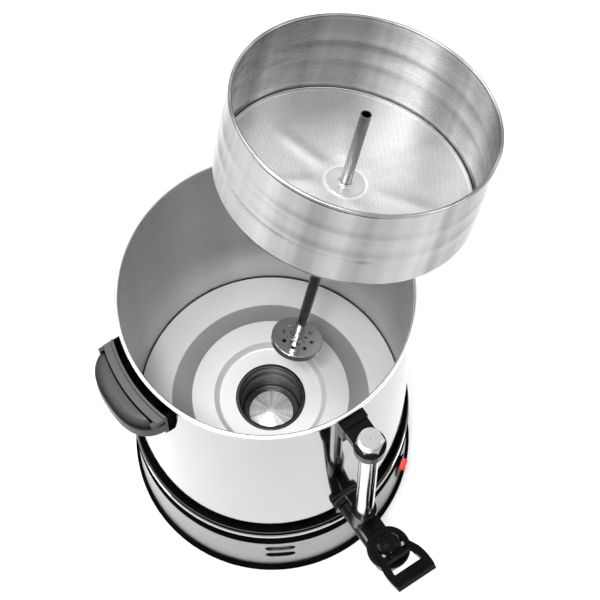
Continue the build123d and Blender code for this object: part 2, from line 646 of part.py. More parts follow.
def build_set():
    lean = Rot(0, 0, SET_AZ) * Rot(0, SET_TILT, 0)
    place = Pos(*SET_FOOT) * lean

    tube = ring(TUBE_R - TUBE_T, TUBE_R, 0.0, TUBE_TOP_S)
    put("riser_tube", place * tube)
    foot = turned(
        [
            (TUBE_R + 0.02, 2.2), (6.3, 2.2), (6.6, 0.6), (FOOT_R, 0.6), (FOOT_R, -6.0),
            (FOOT_R - 1.0, -6.0), (FOOT_R - 1.0, -0.6), (3.4, -0.6), (3.4, -0.05),
            (TUBE_R + 0.02, -0.05),
        ],
        [0, 0.4, 0.3, 0.9, 0.3, 0.3, 0.2, 0, 0, 0],
    )
    for ring_r, hole_r, first in FOOT_HOLES:
        for k in range(8):
            turn = radians(first + 45 * k)
            foot -= rod(hole_r, -3, 3, ring_r * cos(turn), ring_r * sin(turn))
    cage = ring(1.6, 4.0, -6.0, -5.2)
    for k in range(3):
        spoke = block(3.0, 20.5, -1.0, 1.0, -6.0, -5.2) + rod(0.8, -6.0, -0.65, 19.6)
        cage += Rot(0, 0, 120 * k + 11) * spoke
    put("riser_foot", place * foot)
    put("valve_cage", place * cage)
    put("valve_disc", place * (rod(VALVE_DISC_R, -5.1, -3.9) + rod(1.2, -4.0, 6.0)))
    put("stop_collar", place * turned(
        [(TUBE_R + 0.02, 213.0), (6.4, 213.0), (7.0, 215.0), (7.0, 217.7), (TUBE_R + 0.02, 217.7)],
        [0, 0.5, 1, 0.4, 0],
    ))

    low = BASKET_FLOOR_S - 1.6
    rim_s = BASKET_FLOOR_S + BASKET_H - 1.4
    centres = (rim_s - 0.60 * BASKET_H, rim_s - 0.34 * BASKET_H)
    outer = ridge_profile(BASKET_R, low, rim_s, 1.1, centres, 6.0)
    inner = ridge_profile(BASKET_R - BASKET_T, low, rim_s, 1.1, centres, 6.0)
    top = Line((BASKET_R, 0, rim_s), (BASKET_R - BASKET_T, 0, rim_s))
    bottom = Line((BASKET_R, 0, low), (BASKET_R - BASKET_T, 0, low))
    wall = revolve(make_face(outer + inner + [top, bottom]), axis=Axis.Z)
    wall += Pos(0, 0, rim_s) * Torus(BASKET_R - 0.4, 1.4)
    put("basket_wall", place * wall)
    floor_edge = BASKET_R - BASKET_T - 0.05
    floor = turned(
        [
            (6.7, BASKET_FLOOR_S - 0.8), (floor_edge, BASKET_FLOOR_S - 0.8),
            (floor_edge, BASKET_FLOOR_S + 2.4), (floor_edge - 0.8, BASKET_FLOOR_S + 2.4),
            (floor_edge - 0.8, BASKET_FLOOR_S), (6.7, BASKET_FLOOR_S),
        ],
        [0, 0.8, 0, 0, 0.8, 0],
    )
    put("basket_floor", place * floor)
    bore = TUBE_R + RUNNING_GAP
    hub = turned(
        [
            (bore, 217.85), (6.6, 217.85), (6.6, BASKET_FLOOR_S + 0.1), (HUB_R, BASKET_FLOOR_S + 0.1),
            (HUB_R, BASKET_FLOOR_S + 1.0), (6.7, BASKET_FLOOR_S + 1.0), (6.5, BASKET_FLOOR_S + 2.6),
            (bore, BASKET_FLOOR_S + 2.6),
        ],
        [0, 0, 0, 0.3, 0.3, 0.4, 0.4, 0],
    )
    put("basket_hub", place * hub)


build_pot()
build_heating()
build_base()
build_switch()
handle_screws = build_handle("handle_right", 0) + build_handle("handle_left", 180)
put("handle_screws", *handle_screws)
build_gauge()
build_tap()
build_set()

for node, shape in pieces.items():
    export_step(shape, f"parts/{node}.step")
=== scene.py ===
"""Looks of an electric percolator urn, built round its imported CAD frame.

Blender works in metres, and every outline below is in millimetres, scaled by MM. Turned pieces are outlines
of (radius, height) spun round Z. Pieces of the lifted brewing set are made upright about the riser, with
height measured from the riser's foot, and SET_PLACE then tilts their meshes into place.
"""

import json
import math

import bmesh
import bpy
from mathutils import Matrix, Vector


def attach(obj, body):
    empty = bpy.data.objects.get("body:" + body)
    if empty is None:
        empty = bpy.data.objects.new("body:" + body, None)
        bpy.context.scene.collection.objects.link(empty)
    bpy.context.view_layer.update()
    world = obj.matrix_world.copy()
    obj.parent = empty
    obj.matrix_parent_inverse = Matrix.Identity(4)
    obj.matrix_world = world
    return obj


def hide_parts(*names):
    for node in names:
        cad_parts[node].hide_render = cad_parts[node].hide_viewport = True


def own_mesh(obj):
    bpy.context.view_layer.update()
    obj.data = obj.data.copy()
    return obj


MM = 0.001

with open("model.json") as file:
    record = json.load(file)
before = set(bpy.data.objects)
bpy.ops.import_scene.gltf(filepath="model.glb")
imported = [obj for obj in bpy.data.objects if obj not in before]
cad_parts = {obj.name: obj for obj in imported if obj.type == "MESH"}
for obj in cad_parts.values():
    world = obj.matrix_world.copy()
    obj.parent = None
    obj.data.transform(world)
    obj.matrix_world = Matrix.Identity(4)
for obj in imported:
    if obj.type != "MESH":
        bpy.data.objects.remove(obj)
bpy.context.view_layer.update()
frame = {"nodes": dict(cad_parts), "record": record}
NODES = frame["nodes"]


# ---------------------------------------------------------------- sizes, in millimetres and degrees
SET_FOOT = (29.2, -5.9, 293.2)  # middle of the riser's foot
SET_TILT = 23.1  # lean of the riser
SET_AZ = 26.1  # direction of the lean
SET_PLACE = (
    Matrix.Translation([c * MM for c in SET_FOOT])
    @ Matrix.Rotation(math.radians(SET_AZ), 4, "Z")
    @ Matrix.Rotation(math.radians(SET_TILT), 4, "Y")
)

BASKET_FLOOR = 218.7  # height of the basket's floor above the riser's foot
BASKET_H = 90.5
BASKET_R = 120.6  # outside of the basket's rolled rim
BASKET_BEAD_R = 1.8
BASKET_BEAD_IN = 0.3  # how far its middle lies inside the wall's outside
BASKET_WALL_R = BASKET_R - 1.5  # outside of its wall
BASKET_T = 0.8
BASKET_TUCK = 1.8  # how far the wall's foot draws in
TUCK_HEIGHT = 3.0
PERFORATION_PITCH = 1.6
PERFORATION_TURN = 20  # of the square grid about the basket's axis
PERFORATED = (20.5, 113.0)  # inner and outer radius of the perforated part
RIDGES = (34.8, 58.3)  # heights of the two pressed ridges above the floor
RIDGE_DEPTH = 0.9
RIDGE_SPREAD = 5.5

POT_R = 134.4
POT_T = 1.0
POT_FOOT_Z = 128.0
RIM_Z = 443.5  # middle of the rolled rim
RIM_BEAD_R = 2.0
RIM_BEAD_IN = 1.4  # how far its middle lies inside the wall's outside
RIM_LOOK_FROM = RIM_Z - 1.5  # height above which the steel has the rim's paler look, a painted highlight
FLOOR_SEAM_Z = (134.9, 135.3)
PAN_SLOPE = (79.0, 99.7)  # inner and outer radius of the floor pan's slope
PAN_EDGE = 0.4  # half the width of the slope's soft edges
PAN_FADE = (79.0, 99.0)  # radii between which the pan's painted shade fades from its inner level to its outer one
HANDLE_RAIL = (140.4, 150.8)  # inner and outer radius of a handle's rail
HANDLE_RAIL_Z = 430.6
COLLAR_HIGHLIGHT_Z = (133.5, 137.0)  # heights between which upward ledges get a painted highlight
# a band below the foot ring, so that none of its ledges gets the painted highlight
NO_HIGHLIGHT_Z = (-2.0, -1.0)

FINE = 0.0002  # depth of fine surface marks, in metres
CLOUD = 38.0  # scales of noise that several looks share
STAIN = 22.0
GRAIN = 1400.0


# ---------------------------------------------------------------- shader helpers
SET_LOOKS = ("basket_steel", "perforated_steel", "riser_steel", "hub_steel")  # looks that only the set has


def feed(tree, socket, value):
    """Links a socket to another one, or sets its constant value."""
    if isinstance(value, bpy.types.NodeSocket):
        tree.links.new(value, socket)
    else:
        socket.default_value = value


def add(tree, kind, settings=None, **sockets):
    """A shader node with its settings and its sockets, by name."""
    node = tree.nodes.new(kind)
    for key, value in (settings or {}).items():
        setattr(node, key, value)
    for key, value in sockets.items():
        feed(tree, node.inputs[key.replace("_", " ")], value)
    return node


def math_node(tree, operation, a, b=0.0):
    """One arithmetic step on two numbers or sockets."""
    node = tree.nodes.new("ShaderNodeMath")
    node.operation = operation
    for socket, value in zip(node.inputs, (a, b)):
        feed(tree, socket, value)
    return node.outputs[0]


def plus(tree, a, b):
    """A sum of two numbers or sockets."""
    return math_node(tree, "ADD", a, b)


def times(tree, value, *factors):
    """A product of numbers or sockets."""
    for factor in factors:
        value = math_node(tree, "MULTIPLY", value, factor)
    return value


def span(tree, factor, low, high, start=0.0, end=1.0):
    """A factor between start and end, mapped to low and high."""
    limits = {"From_Min": start, "From_Max": end, "To_Min": low, "To_Max": high}
    node = add(tree, "ShaderNodeMapRange", {"clamp": True}, **limits)
    tree.links.new(factor, node.inputs["Value"])
    return node.outputs["Result"]


def between(tree, length, rise, fall):
    """One between two radii or heights, else nought. It rises and falls between two millimetre marks."""
    into = span(tree, length, 0, 1, rise[0] * MM, rise[1] * MM)
    out_of = span(tree, length, 1, 0, fall[0] * MM, fall[1] * MM)
    return times(tree, into, out_of)


def mix(tree, factor, a, b):
    """A blend of two colours. A factor above one goes on past the second colour."""
    node = tree.nodes.new("ShaderNodeMix")
    node.data_type = "RGBA"
    node.clamp_factor = False
    for index, value in ((0, factor), (6, a), (7, b)):
        feed(tree, node.inputs[index], value)
    return node.outputs[2]


def noise(tree, coords, scale, detail=3.0, roughness=0.5):
    """A noise texture's factor."""
    node = add(tree, "ShaderNodeTexNoise", Scale=scale, Detail=detail, Roughness=roughness, Vector=coords)
    return node.outputs[0]


def object_coords(tree):
    """A point's place in metres. SET_LOOKS measure it upright, from the riser's foot."""
    place = tree.nodes.new("ShaderNodeTexCoord").outputs["Object"]
    if not tree.get("on_set"):
        return place
    undo = {"Location": SET_PLACE.to_translation(), "Rotation": SET_PLACE.to_euler()}
    return add(tree, "ShaderNodeMapping", {"vector_type": "TEXTURE"}, Vector=place, **undo).outputs[0]


def split(tree, vector):
    """The three numbers of a vector."""
    return add(tree, "ShaderNodeSeparateXYZ", Vector=vector).outputs


def upwardness(tree):
    """How far the surface faces up, from -1 to 1."""
    return split(tree, tree.nodes.new("ShaderNodeTexCoord").outputs["Normal"])[2]


def turned_coords(tree, along=6.0, across=900.0):
    """Coordinates that change fast across lathe marks and slowly along them, and the radius."""
    x, y, z = split(tree, object_coords(tree))
    squares = [times(tree, part, part) for part in (x, y)]
    radius = math_node(tree, "SQRT", plus(tree, *squares))
    height = plus(tree, radius, z)
    parts = [times(tree, x, along), times(tree, y, along), times(tree, height, across)]
    return add(tree, "ShaderNodeCombineXYZ", X=parts[0], Y=parts[1], Z=parts[2]).outputs[0], radius


def ray_coords(tree):
    """Coordinates that depend only on the direction from the Z axis, so a texture in them fans out."""
    x, y, _ = split(tree, object_coords(tree))
    flat = add(tree, "ShaderNodeCombineXYZ", X=x, Y=y, Z=0.0).outputs[0]
    return add(tree, "ShaderNodeVectorMath", {"operation": "NORMALIZE"}, Vector=flat).outputs[0]


def bump(tree, height, strength, distance=FINE):
    """The surface's normal, disturbed by a height that is worth a distance in metres."""
    node = add(tree, "ShaderNodeBump", Strength=strength, Distance=distance)
    tree.links.new(height, node.inputs["Height"])
    return node.outputs["Normal"]


def blank(name, **sockets):
    """A material with its Principled shader's constant sockets set."""
    material = bpy.data.materials.new(name)
    material.use_nodes = True
    tree = material.node_tree
    tree["on_set"] = name in SET_LOOKS
    shader = tree.nodes["Principled BSDF"]
    for key, value in sockets.items():
        shader.inputs[key.replace("_", " ")].default_value = value
    return material, tree, shader


def wire_up(tree, shader, **sockets):
    """Links the shader's varying sockets."""
    for key, value in sockets.items():
        tree.links.new(value, shader.inputs[key.replace("_", " ")])


def grey(value, warmth=0.0):
    """A grey as a colour, with more red and less blue for some warmth."""
    return (value * (1 + warmth), value, value * (1 - warmth), 1.0)


# ---------------------------------------------------------------- materials
def spun_steel(name, shade, rough, line_depth=0.2, contrast=0.10, reflection_streaks=0.0, metallic=1.0, anisotropy=0.4):
    """Stainless steel with lathe or rolling marks round the axis, and broad streaks that fan out from it,
    which are painted reflections.
    """
    material, tree, shader = blank(name, Metallic=metallic, Anisotropic=anisotropy)
    lines = noise(tree, turned_coords(tree)[0], 1.0, 4.0, 0.6)
    broad = noise(tree, turned_coords(tree, 9.0, 60.0)[0], 1.0, 2.0)
    stain = noise(tree, object_coords(tree), STAIN, 5.0, 0.6)
    tone = plus(tree, times(tree, lines, 0.35), times(tree, broad, 0.65))
    level = span(tree, tone, 1 - contrast, 1 + contrast * 0.6, 0.32, 0.68)
    # painted reflections: bright and dark streaks that fan out from the axis, like a satin cylinder
    # reflecting its surroundings
    if reflection_streaks:
        reflection_fan = noise(tree, ray_coords(tree), 1.9, 3.0, 0.55)
        level = times(tree, level, span(tree, reflection_fan, 1 - reflection_streaks, 1 + reflection_streaks, 0.36, 0.64))
    colour = mix(tree, level, grey(0.0), grey(shade, 0.003))
    stained = span(tree, stain, 0.0, 0.05, 0.52, 0.7)
    roughness = plus(tree, span(tree, lines, rough * 0.82, rough * 1.18, 0.3, 0.7), stained)
    wire_up(tree, shader, Base_Color=colour, Roughness=roughness, Normal=bump(tree, lines, line_depth))
    return material


def pan_steel(name, shade, rough, slope_painted_shade, inner_painted_shade):
    """The pressed floor pan: satin and bright outside, with painted shade that darkens its slope and makes it
    a little greyer inside it.
    """
    material, tree, shader = blank(name, Metallic=0.25)
    lines_at, radius = turned_coords(tree)
    lines = noise(tree, lines_at, 1.0, 4.0, 0.6)
    rise, fall = [(edge - PAN_EDGE, edge + PAN_EDGE) for edge in PAN_SLOPE]
    slope = between(tree, radius, rise, fall)
    inside = span(tree, radius, inner_painted_shade, 1.0, PAN_FADE[0] * MM, PAN_FADE[1] * MM)
    stain = noise(tree, object_coords(tree), STAIN, 5.0, 0.6)
    stained = span(tree, stain, 0.95, 1.0, 0.35, 0.65)
    # painted shade by radius: darker on the slope, greyer inside it; the stain noise is the pan's own
    level = times(tree, inside, span(tree, slope, 1.0, slope_painted_shade), stained)
    colour = mix(tree, level, grey(0.0), grey(shade, 0.003))
    roughness = span(tree, lines, rough * 0.9, rough * 1.15, 0.3, 0.7)
    wire_up(tree, shader, Base_Color=colour, Roughness=roughness, Normal=bump(tree, lines, 0.03))
    return material


def ledged_plastic(name, highlight_from, highlight_to):
    """Dull black plastic whose narrow upward ledges get a painted highlight: pale grey between two heights in
    millimetres.
    """
    material, tree, shader = blank(name, Specular_IOR_Level=0.0)
    height = split(tree, object_coords(tree))[2]
    cloud = noise(tree, object_coords(tree), CLOUD, 5.0, 0.6)
    grain = noise(tree, object_coords(tree), GRAIN)
    # painted highlight: upward-facing faces between the two heights are tinted pale grey, standing in for
    # light caught on the ledges' edges
    highlight_band = between(tree, height, (highlight_from, highlight_from + 0.5), (highlight_to - 0.5, highlight_to))
    ledge_highlight = times(tree, span(tree, upwardness(tree), 0, 1, 0.35, 0.85), highlight_band)
    tint = mix(tree, ledge_highlight, grey(0.002), grey(0.085))
    tint = mix(tree, span(tree, cloud, 0, 0.02, 0.4, 0.75), tint, grey(0.10))
    roughness = span(tree, cloud, 0.30, 0.38, 0.3, 0.7)
    wire_up(tree, shader, Base_Color=tint, Roughness=roughness, Normal=bump(tree, grain, 0.1))
    return material


def handle_plastic(name):
    """Black plastic, glossy on the grip, with painted light and shade: a painted sheen on the grip's upward
    faces, a painted highlight on top of the rail, and near-black painted shade beside the rim.
    """
    material, tree, shader = blank(name, IOR=1.26)
    upward = span(tree, upwardness(tree), 0, 1, 0.45, 0.95)
    radius = turned_coords(tree)[1]
    height = split(tree, object_coords(tree))[2]
    cloud = noise(tree, object_coords(tree), CLOUD, 5.0, 0.6)
    grain = noise(tree, object_coords(tree), GRAIN)
    rail_in, rail_out = HANDLE_RAIL
    outside = span(tree, radius, 0, 1, rail_in * MM, (rail_in + 0.5) * MM)
    before_grip = span(tree, radius, 1, 0, rail_out * MM, (rail_out + 0.4) * MM)
    on_top = span(tree, height, 0, 1, HANDLE_RAIL_Z * MM, (HANDLE_RAIL_Z + 0.3) * MM)
    lit_rail_top = times(tree, outside, before_grip, on_top)
    # painted sheen: the grip's upward-facing faces are tinted a paler grey
    grip_sheen = mix(tree, upward, grey(0.002), grey(0.050))
    # painted shade: inside the rail's inner radius, beside the rim, the plastic is near black
    tint = mix(tree, outside, grey(0.0005), grip_sheen)
    # painted highlight: the rail's flat top is tinted pale grey
    tint = mix(tree, lit_rail_top, tint, grey(0.075))
    tint = mix(tree, span(tree, cloud, 0, 0.05, 0.4, 0.75), tint, grey(0.10))
    roughness = plus(tree, span(tree, cloud, 0.22, 0.30, 0.3, 0.7), span(tree, lit_rail_top, 0, 0.25))
    gloss = times(tree, outside, span(tree, upward, 0.12, 0.35))
    grained = bump(tree, grain, 0.1)
    wire_up(tree, shader, Base_Color=tint, Roughness=roughness, Specular_IOR_Level=gloss, Normal=grained)
    return material


def mirror_steel(name, shade, rough, waviness=0.12):
    """Polished stainless steel with faint wipe marks and the slight waviness of rolled sheet."""
    material, tree, shader = blank(name, Metallic=1.0)
    place = object_coords(tree)
    wave = noise(tree, place, 7.0, 1.0)
    smear = noise(tree, place, 26.0, 6.0, 0.62)
    grain = noise(tree, place, 900.0, 2.0)
    colour = mix(tree, span(tree, smear, 0, 1, 0.35, 0.7), grey(shade), grey(shade * 0.95, 0.004))
    grained = span(tree, grain, 0.0, 0.02, 0.3, 0.7)
    roughness = plus(tree, span(tree, smear, rough, rough + 0.05, 0.45, 0.75), grained)
    wire_up(tree, shader, Base_Color=colour, Roughness=roughness, Normal=bump(tree, wave, waviness, 0.002))
    return material


def moulded_plastic(name, colour, rough, gloss=0.5, grain_scale=GRAIN, grain=0.12, dust=0.03):
    """Moulded plastic with a fine grain, uneven gloss and a trace of dust."""
    material, tree, shader = blank(name, Specular_IOR_Level=gloss)
    place = object_coords(tree)
    fine = noise(tree, place, grain_scale)
    cloud = noise(tree, place, CLOUD, 5.0, 0.6)
    stretched = add(tree, "ShaderNodeMapping", Vector=place, Scale=(60, 240, 60)).outputs[0]
    scuff = noise(tree, stretched, 3.0, 6.0, 0.7)
    dusty = [min(1.0, c + dust) for c in colour]
    scuffed = [min(1.0, c + 2.2 * dust) for c in colour]
    tint = mix(tree, span(tree, cloud, 0, 0.5, 0.4, 0.75), (*colour, 1), (*dusty, 1))
    tint = mix(tree, span(tree, scuff, 0, 0.35, 0.66, 0.76), tint, (*scuffed, 1))
    dulled = span(tree, scuff, 0, 0.12, 0.64, 0.76)
    roughness = plus(tree, span(tree, cloud, rough * 0.85, rough * 1.2, 0.3, 0.7), dulled)
    wire_up(tree, shader, Base_Color=tint, Roughness=roughness, Normal=bump(tree, fine, grain))
    return material


def cast_metal(name, colour, rough, metallic=1.0, scale=260.0, depth=0.35):
    """A cast, plated or heat-tinted metal with a mottled surface."""
    material, tree, shader = blank(name, Metallic=metallic)
    place = object_coords(tree)
    mottle = noise(tree, place, scale, 5.0, 0.65)
    patch = noise(tree, place, 30.0, 3.0)
    dark = [c * 0.7 for c in colour]
    tint = mix(tree, span(tree, patch, 0, 1, 0.35, 0.7), (*colour, 1), (*dark, 1))
    roughness = span(tree, mottle, rough * 0.8, rough * 1.25, 0.3, 0.7)
    wire_up(tree, shader, Base_Color=tint, Roughness=roughness, Normal=bump(tree, mottle, depth, 0.0004))
    return material


def soft_rubber(name, colour, rough, transmission=0.0):
    """Rubber or silicone with a dull bloom."""
    material, tree, shader = blank(name, Transmission_Weight=transmission, IOR=1.41)
    place = object_coords(tree)
    bloom = noise(tree, place, 120.0, 4.0, 0.6)
    pores = noise(tree, place, 1500.0, 2.0)
    pale = [min(1.0, c * 1.3 + 0.015) for c in colour]
    tint = mix(tree, span(tree, bloom, 0, 0.6, 0.4, 0.7), (*colour, 1), (*pale, 1))
    roughness = span(tree, bloom, rough, min(1.0, rough + 0.15), 0.3, 0.7)
    wire_up(tree, shader, Base_Color=tint, Roughness=roughness, Normal=bump(tree, pores, 0.2))
    return material


def clear_glass(name):
    """Gauge glass with a faint scale film that raises its roughness in patches."""
    material, tree, shader = blank(name, Transmission_Weight=1.0, IOR=1.47)
    film = noise(tree, object_coords(tree), 90.0, 5.0, 0.6)
    roughness = span(tree, film, 0.01, 0.09, 0.45, 0.75)
    tint = mix(tree, span(tree, film, 0, 1, 0.4, 0.7), (0.96, 0.99, 0.98, 1), (0.88, 0.93, 0.92, 1))
    wire_up(tree, shader, Base_Color=tint, Roughness=roughness)
    return material


def perforated_steel(name, shade, rough):
    """Steel sheet with fine round perforations on a square grid, left plain near the hub and the wall. The
    perforations are a real pattern; their dark grey is painted shade where holes would show depth.
    """
    material, tree, shader = blank(name)
    lines_at, radius = turned_coords(tree, 12.0, 500.0)
    lines = noise(tree, lines_at, 1.0, 4.0, 0.6)
    turn = (0.0, 0.0, math.radians(PERFORATION_TURN))
    grid = add(tree, "ShaderNodeMapping", Vector=object_coords(tree), Rotation=turn).outputs[0]
    cells = add(
        tree, "ShaderNodeTexVoronoi", {"voronoi_dimensions": "2D"},
        Scale=1 / (PERFORATION_PITCH * MM), Randomness=0.0, Vector=grid,
    ).outputs["Distance"]
    inner, outer = PERFORATED
    perforated = between(tree, radius, (inner, inner + 0.5), (outer - 0.5, outer))
    hole = times(tree, span(tree, cells, 1, 0, 0.24, 0.34), perforated)
    stain = noise(tree, object_coords(tree), 30.0, 5.0, 0.6)
    steel = mix(tree, span(tree, stain, 0, 1, 0.35, 0.7), grey(shade), grey(shade * 0.90, 0.004))
    # painted shade: the perforations are tinted dark grey and made non-metallic, standing in for the shade
    # seen through real holes
    tint = mix(tree, hole, steel, grey(0.16))
    roughness = plus(tree, span(tree, lines, rough * 0.85, rough * 1.2, 0.3, 0.7), span(tree, hole, 0, 0.4))
    sheet = math_node(tree, "SUBTRACT", 1.0, hole)
    bare = span(tree, hole, 1.0, 0.0)
    wire_up(tree, shader, Base_Color=tint, Metallic=bare, Roughness=roughness, Normal=bump(tree, sheet, 0.3))
    return material


def radial_steel(name, shade, rough, contrast=0.45, metallic=1.0):
    """Polished steel with painted reflections, bright and dark rays of sheen that fan out from the Z axis,
    and fine rings round it.
    """
    material, tree, shader = blank(name, Metallic=metallic)
    # painted reflection: the rays' bright and dark tone is a sheen painted into the colour
    reflection_fan = noise(tree, ray_coords(tree), 2.2, 2.0, 0.5)
    fine = noise(tree, ray_coords(tree), 16.0, 4.0, 0.6)
    rings = noise(tree, turned_coords(tree, 2.0, 2500.0)[0], 1.0, 2.0)
    tone = plus(tree, times(tree, reflection_fan, 0.8), times(tree, fine, 0.2))
    colour = mix(tree, span(tree, tone, 0, 1, 0.38, 0.62), grey(shade * (1 - contrast)), grey(shade))
    roughness = span(tree, rings, rough * 0.8, rough * 1.3, 0.3, 0.7)
    wire_up(tree, shader, Base_Color=colour, Roughness=roughness, Normal=bump(tree, rings, 0.15, 0.0001))
    return material


def floor_paper(name):
    """The pale sweep that the object stands on."""
    material, tree, shader = blank(name, Specular_IOR_Level=0.2)
    fibre = noise(tree, object_coords(tree), 160.0, 5.0, 0.6)
    tint = mix(tree, span(tree, fibre, 0, 1, 0.3, 0.7), grey(0.95), grey(0.97))
    wire_up(tree, shader, Base_Color=tint, Roughness=span(tree, fibre, 0.75, 0.9, 0.3, 0.7))
    return material


BLACK = (0.0035, 0.0035, 0.0038)
RED = (0.80, 0.018, 0.006)
IVORY = (0.80, 0.78, 0.72)
HANDLE_PLASTIC = handle_plastic("handle_plastic")
LOOKS = {  # by the record's material slot
    "polished_steel": mirror_steel("polished_steel", 0.33, 0.05, waviness=0.012),
    "satin_steel": spun_steel("satin_steel", 0.50, 0.26),
    "bright_steel": spun_steel("bright_steel", 0.62, 0.12, line_depth=0.08),
    "galvanised_steel": cast_metal("galvanised_steel", (0.58, 0.60, 0.62), 0.40),
    "element_sheath": cast_metal("element_sheath", (0.20, 0.18, 0.16), 0.45, scale=400.0),
    "cast_aluminium": cast_metal("cast_aluminium", (0.68, 0.69, 0.71), 0.50),
    "brass": cast_metal("brass", (0.78, 0.60, 0.30), 0.28, scale=500.0, depth=0.15),
    "black_plastic": moulded_plastic("black_plastic", BLACK, 0.15, gloss=0.06, dust=0.001),
    "red_plastic": moulded_plastic(
        "red_plastic", RED, 0.30, gloss=0.3, grain_scale=900.0, grain=0.05, dust=0.015
    ),
    "white_plastic": moulded_plastic("white_plastic", IVORY, 0.50, grain_scale=700.0, grain=0.2, dust=0.0),
    "silicone": soft_rubber("silicone", (0.72, 0.71, 0.66), 0.45, transmission=0.15),
    "black_rubber": soft_rubber("black_rubber", (0.010, 0.010, 0.011), 0.65),
    "clear_glass": clear_glass("clear_glass"),
}
OWN_LOOKS = {  # by node, where the slot's look isn't right
    # painted shade: the skirt's steel is a darker copy, standing in for the dark surroundings it reflects
    "base_skirt": spun_steel("skirt_steel", 0.20, 0.34, line_depth=0.06),
    "pot_floor": pan_steel("pot_floor_steel", 0.98, 0.38, slope_painted_shade=0.48, inner_painted_shade=0.74),
    # painted shade: the heater well's steel is near black, for the shade in its recess
    "heater_well": spun_steel("well_steel", 0.045, 0.28, line_depth=0.05, contrast=0.06),
    # painted shade: a darker copy of the bright steel for the riser tube
    "riser_tube": spun_steel("riser_steel", 0.30, 0.12, line_depth=0.06),
    # painted light: a paler copy of the satin steel for the basket's hub
    "basket_hub": spun_steel("hub_steel", 0.72, 0.30, line_depth=0.05),
    # painted light: near white and only partly metallic so the dome at the bottom of the well looks lit, with
    # a painted radial sheen
    "well_dome": radial_steel("dome_steel", 0.97, 0.25, contrast=0.6, metallic=0.35),
    # painted reflection: the gauge cap's radial sheen
    "gauge_cap": radial_steel("cap_steel", 0.56, 0.16, contrast=0.25),
    "base_collar": ledged_plastic("collar_plastic", *COLLAR_HIGHLIGHT_Z),
    "foot_ring": ledged_plastic("foot_plastic", *NO_HIGHLIGHT_Z),
    "handle_left": HANDLE_PLASTIC,
    "handle_right": HANDLE_PLASTIC,
}
DULL_MARKS = {"line_depth": 0.03, "contrast": 0.04, "anisotropy": 0.0}
# painted shade: the pot's inside is a darker, less metallic copy of its steel, with painted reflection
# streaks
POT_INSIDE = spun_steel("pot_inside_steel", 0.40, 0.38, reflection_streaks=0.12, metallic=0.85, **DULL_MARKS)
# painted highlight: the rolled rim's steel is a much paler, rougher copy of the wall's
RIM_HIGHLIGHT_STEEL = spun_steel("rim_highlight_steel", 0.80, 0.24, **DULL_MARKS)
BASKET_STEEL = spun_steel("basket_steel", 0.37, 0.27, line_depth=0.05, contrast=0.06, reflection_streaks=0.44)
MESH_STEEL = perforated_steel("perforated_steel", 0.94, 0.42)


# ---------------------------------------------------------------- mesh helpers
CREASE = 38.0  # angle above which an edge stays sharp


def finish_mesh(name, mesh, material, body, replaced=(), place=None):
    """Makes a mesh a shown piece: its place, shading and material, its body, and what it stands for."""
    if place is not None:
        mesh.transform(place)
    mesh.shade_smooth()
    mesh.set_sharp_from_angle(angle=math.radians(CREASE))
    mesh.materials.append(material)
    piece = bpy.data.objects.new(name, mesh)
    bpy.context.scene.collection.objects.link(piece)
    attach(piece, body)
    if replaced:
        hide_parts(*replaced)
    return piece


def to_mesh(bm, name):
    """A mesh with outward normals, made from a bmesh that is then freed."""
    bmesh.ops.recalc_face_normals(bm, faces=bm.faces)
    mesh = bpy.data.meshes.new(name)
    bm.to_mesh(mesh)
    bm.free()
    return mesh


def turned_point(bm, radius, turn, height):
    """A vertex at a radius and height in millimetres and a turn about Z."""
    return bm.verts.new((radius * MM * math.cos(turn), radius * MM * math.sin(turn), height * MM))


def spin(outline, segments):
    """A closed (radius, height) outline in millimetres spun round Z."""
    bm = bmesh.new()
    turns = [2 * math.pi * k / segments for k in range(segments)]
    rings = [[turned_point(bm, radius, turn, height) for radius, height in outline] for turn in turns]
    count = len(outline)
    for k in range(segments):
        here, there = rings[k], rings[(k + 1) % segments]
        for i in range(count):
            j = (i + 1) % count
            bm.faces.new((here[i], there[i], there[j], here[j]))
    bmesh.ops.remove_doubles(bm, verts=bm.verts, dist=1e-6)
    bmesh.ops.dissolve_degenerate(bm, dist=1e-7, edges=bm.edges)
    return to_mesh(bm, "spun")


def rolled_edge(centre_r, centre_z, radius, start, end, step=-15):
    """Points round a rolled edge's section, from one angle to another, measured from straight up."""
    return [
        (centre_r + radius * math.sin(math.radians(a)), centre_z + radius * math.cos(math.radians(a)))
        for a in range(start, end, step)
    ]


def flat_ring(inner, outer, low, high):
    """The outline of a ring with a rectangular section."""
    return [(inner, low), (outer, low), (outer, high), (inner, high)]


# ---------------------------------------------------------------- pot
POT_SEGMENTS = 256
OUTER_FACE_Z = (POT_FOOT_Z, 140.0, 438.0, 441.8)  # the points near each end keep the wall's shading even
INNER_FACE_Z = (440.9, 437.0, 140.0, POT_FOOT_Z)


